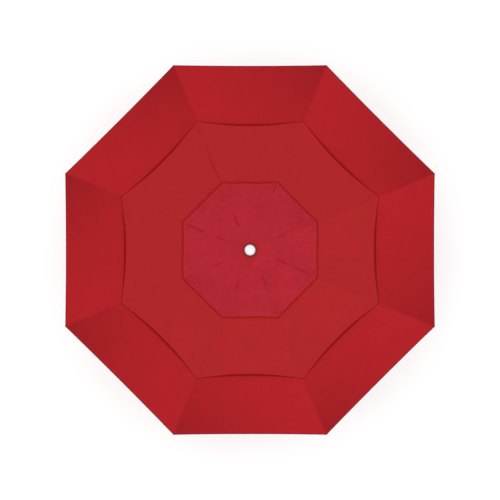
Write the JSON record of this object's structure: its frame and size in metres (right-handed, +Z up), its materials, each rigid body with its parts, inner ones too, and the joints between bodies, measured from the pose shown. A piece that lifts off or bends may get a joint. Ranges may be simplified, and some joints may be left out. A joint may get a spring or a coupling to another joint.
{
  "type": "patio umbrella with base",
  "caption": "Market umbrella: tiered vented fabric canopy on folding ribs, round pole with crank and tilt joint, weighted round stand.",
  "frame": {"origin": "on the ground under the middle of the stand, on the pole's axis", "axes": "+Z up along the pole; the crank is on the -Y side and the clamp knob on the +X side"},
  "size_m": [2.439, 2.439, 2.5001],
  "materials": {
    "white_coat": "satin",
    "white_plastic": "satin",
    "gloss_plastic": "gloss",
    "steel": "satin",
    "arm_metal": "satin",
    "concrete": "matte",
    "rubber": "matte",
    "cord": "matte",
    "canopy_cloth": "matte",
    "cap_cloth": "matte"
  },
  "bodies": {
    "base": {"base_shell": "white_coat", "base_ballast": "concrete", "base_plate": "steel", "base_feet": "rubber", "stem_tube": "white_coat", "stem_bolts": "steel", "stem_sleeve": "white_plastic"},
    "clamp_knob": {"clamp_knob": "gloss_plastic"},
    "pole_cup": {"pole_cup": "white_plastic"},
    "pole": {"lower_pole": "white_coat", "pole_spigot": "steel", "middle_pole": "white_coat", "crank_housing_front": "white_plastic", "crank_housing_back": "white_plastic", "housing_screws": "steel", "tilt_socket": "white_plastic", "lift_cord_lower": "cord"},
    "snap_button": {"snap_button": "steel"},
    "crank": {"crank_shaft": "steel", "cord_spool": "cord", "crank_arm": "arm_metal"},
    "crank_grip": {"crank_grip": "gloss_plastic"},
    "upper_pole": {"upper_pole": "white_coat", "tilt_head": "white_plastic", "tilt_pins": "steel", "top_hub": "white_plastic", "hub_pins": "steel", "finial": "gloss_plastic", "lift_cord_upper": "cord", "canopy_skirt": "canopy_cloth", "canopy_middle": "canopy_cloth", "canopy_cap": "cap_cloth"},
    "tilt_button": {"tilt_button": "gloss_plastic"},
    "top_pulley": {"top_pulley": "white_plastic"},
    "runner": {"runner": "white_plastic", "runner_pins": "steel"},
    "rib_1": {"rib_1": "white_coat", "rib_1_fittings": "white_plastic"},
    "strut_1": {"strut_1": "white_coat"},
    "rib_2": {"rib_2": "white_coat", "rib_2_fittings": "white_plastic"},
    "strut_2": {"strut_2": "white_coat"},
    "rib_3": {"rib_3": "white_coat", "rib_3_fittings": "white_plastic"},
    "strut_3": {"strut_3": "white_coat"},
    "rib_4": {"rib_4": "white_coat", "rib_4_fittings": "white_plastic"},
    "strut_4": {"strut_4": "white_coat"},
    "rib_5": {"rib_5": "white_coat", "rib_5_fittings": "white_plastic"},
    "strut_5": {"strut_5": "white_coat"},
    "rib_6": {"rib_6": "white_coat", "rib_6_fittings": "white_plastic"},
    "strut_6": {"strut_6": "white_coat"},
    "rib_7": {"rib_7": "white_coat", "rib_7_fittings": "white_plastic"},
    "strut_7": {"strut_7": "white_coat"},
    "rib_8": {"rib_8": "white_coat", "rib_8_fittings": "white_plastic"},
    "strut_8": {"strut_8": "white_coat"}
  },
  "joints": [
    {"name": "clamp_turn", "type": "hinge", "parent": "base", "child": "clamp_knob", "pos_m": [0.05, 0, 0.33], "axis": [1, 0, 0], "range_deg": [-720, 0]},
    {"name": "pole_swivel", "type": "hinge", "parent": "base", "child": "pole_cup", "pos_m": [0, 0, 0.02], "axis": [0, 0, 1], "continuous": true},
    {"name": "pole_lift", "type": "slide", "parent": "pole_cup", "child": "pole", "axis": [0, 0, 1], "range_m": [0, 0.35]},
    {"name": "snap_press", "type": "slide", "parent": "pole", "child": "snap_button", "axis": [-1, 0, 0], "range_m": [0, 0.0025], "stiffness_N_per_m": 800, "springref_m": -0.001},
    {"name": "crank_grip_spin", "type": "hinge", "parent": "crank", "child": "crank_grip", "pos_m": [0, -0.094, 0.77072], "axis": [0, 1, 0], "continuous": true},
    {"name": "tilt", "type": "hinge", "parent": "pole", "child": "upper_pole", "pos_m": [0, 0, 1.78083], "axis": [1, 0, 0], "range_deg": [-25, 0]},
    {"name": "tilt_press", "type": "slide", "parent": "upper_pole", "child": "tilt_button", "axis": [0, 1, 0], "range_m": [0, 0.003], "stiffness_N_per_m": 600, "springref_m": -0.001},
    {"name": "fold", "type": "hinge", "parent": "upper_pole", "child": "rib_1", "pos_m": [0.03511, 0.01454, 2.4], "axis": [-0.3827, 0.9239, 0], "range_deg": [0, 65.89], "deforming": ["canopy_skirt", "canopy_middle", "canopy_cap", "lift_cord_upper"]},
    {"name": "strut_turn_1", "type": "hinge", "parent": "rib_1", "child": "strut_1", "pos_m": [0.57862, 0.23967, 2.14892], "axis": [-0.3827, 0.9239, 0], "range_deg": [-131.78, 0]},
    {"name": "runner_turn", "type": "hinge", "parent": "strut_1", "child": "runner", "pos_m": [0.03511, 0.01454, 1.89783], "axis": [-0.3827, 0.9239, 0], "range_deg": [0, 65.9]},
    {"name": "rib_fold_2", "type": "hinge", "parent": "upper_pole", "child": "rib_2", "pos_m": [0.01454, 0.03511, 2.4], "axis": [-0.9239, 0.3827, 0], "range_deg": [0, 65.89]},
    {"name": "strut_turn_2", "type": "hinge", "parent": "rib_2", "child": "strut_2", "pos_m": [0.23967, 0.57862, 2.14892], "axis": [-0.9239, 0.3827, 0], "range_deg": [-131.78, 0]},
    {"name": "rib_fold_3", "type": "hinge", "parent": "upper_pole", "child": "rib_3", "pos_m": [-0.01454, 0.03511, 2.4], "axis": [-0.9239, -0.3827, 0], "range_deg": [0, 65.89]},
    {"name": "strut_turn_3", "type": "hinge", "parent": "rib_3", "child": "strut_3", "pos_m": [-0.23967, 0.57862, 2.14892], "axis": [-0.9239, -0.3827, 0], "range_deg": [-131.78, 0]},
    {"name": "rib_fold_4", "type": "hinge", "parent": "upper_pole", "child": "rib_4", "pos_m": [-0.03511, 0.01454, 2.4], "axis": [-0.3827, -0.9239, 0], "range_deg": [0, 65.89]},
    {"name": "strut_turn_4", "type": "hinge", "parent": "rib_4", "child": "strut_4", "pos_m": [-0.57862, 0.23967, 2.14892], "axis": [-0.3827, -0.9239, 0], "range_deg": [-131.78, 0]},
    {"name": "rib_fold_5", "type": "hinge", "parent": "upper_pole", "child": "rib_5", "pos_m": [-0.03511, -0.01454, 2.4], "axis": [0.3827, -0.9239, 0], "range_deg": [0, 65.89]},
    {"name": "strut_turn_5", "type": "hinge", "parent": "rib_5", "child": "strut_5", "pos_m": [-0.57862, -0.23967, 2.14892], "axis": [0.3827, -0.9239, 0], "range_deg": [-131.78, 0]},
    {"name": "rib_fold_6", "type": "hinge", "parent": "upper_pole", "child": "rib_6", "pos_m": [-0.01454, -0.03511, 2.4], "axis": [0.9239, -0.3827, 0], "range_deg": [0, 65.89]},
    {"name": "strut_turn_6", "type": "hinge", "parent": "rib_6", "child": "strut_6", "pos_m": [-0.23967, -0.57862, 2.14892], "axis": [0.9239, -0.3827, 0], "range_deg": [-131.78, 0]},
    {"name": "rib_fold_7", "type": "hinge", "parent": "upper_pole", "child": "rib_7", "pos_m": [0.01454, -0.03511, 2.4], "axis": [0.9239, 0.3827, 0], "range_deg": [0, 65.89]},
    {"name": "strut_turn_7", "type": "hinge", "parent": "rib_7", "child": "strut_7", "pos_m": [0.23967, -0.57862, 2.14892], "axis": [0.9239, 0.3827, 0], "range_deg": [-131.78, 0]},
    {"name": "rib_fold_8", "type": "hinge", "parent": "upper_pole", "child": "rib_8", "pos_m": [0.03511, -0.01454, 2.4], "axis": [0.3827, 0.9239, 0], "range_deg": [0, 65.89]},
    {"name": "strut_turn_8", "type": "hinge", "parent": "rib_8", "child": "strut_8", "pos_m": [0.57862, -0.23967, 2.14892], "axis": [0.3827, 0.9239, 0], "range_deg": [-131.78, 0]},
    {"name": "crank_turn", "type": "hinge", "parent": "pole", "child": "crank", "pos_m": [0, -0.055, 0.88072], "axis": [0, 1, 0], "range_deg": [-3961, 0]},
    {"name": "pulley_turn", "type": "hinge", "parent": "upper_pole", "child": "top_pulley", "pos_m": [0.01225, 0, 2.4], "axis": [0, 1, 0], "range_deg": [0, 3635.7]}
  ],
  "couplings": [
    {"joint": "strut_turn_1", "follows": "fold", "ratio": -2},
    {"joint": "runner_turn", "follows": "fold", "ratio": 1},
    {"joint": "rib_fold_2", "follows": "fold", "ratio": 1},
    {"joint": "strut_turn_2", "follows": "fold", "ratio": -2},
    {"joint": "rib_fold_3", "follows": "fold", "ratio": 1},
    {"joint": "strut_turn_3", "follows": "fold", "ratio": -2},
    {"joint": "rib_fold_4", "follows": "fold", "ratio": 1},
    {"joint": "strut_turn_4", "follows": "fold", "ratio": -2},
    {"joint": "rib_fold_5", "follows": "fold", "ratio": 1},
    {"joint": "strut_turn_5", "follows": "fold", "ratio": -2},
    {"joint": "rib_fold_6", "follows": "fold", "ratio": 1},
    {"joint": "strut_turn_6", "follows": "fold", "ratio": -2},
    {"joint": "rib_fold_7", "follows": "fold", "ratio": 1},
    {"joint": "strut_turn_7", "follows": "fold", "ratio": -2},
    {"joint": "rib_fold_8", "follows": "fold", "ratio": 1},
    {"joint": "strut_turn_8", "follows": "fold", "ratio": -2},
    {"joint": "crank_turn", "follows": "fold", "ratio": -60.103},
    {"joint": "pulley_turn", "follows": "fold", "ratio": 55.165}
  ]
}
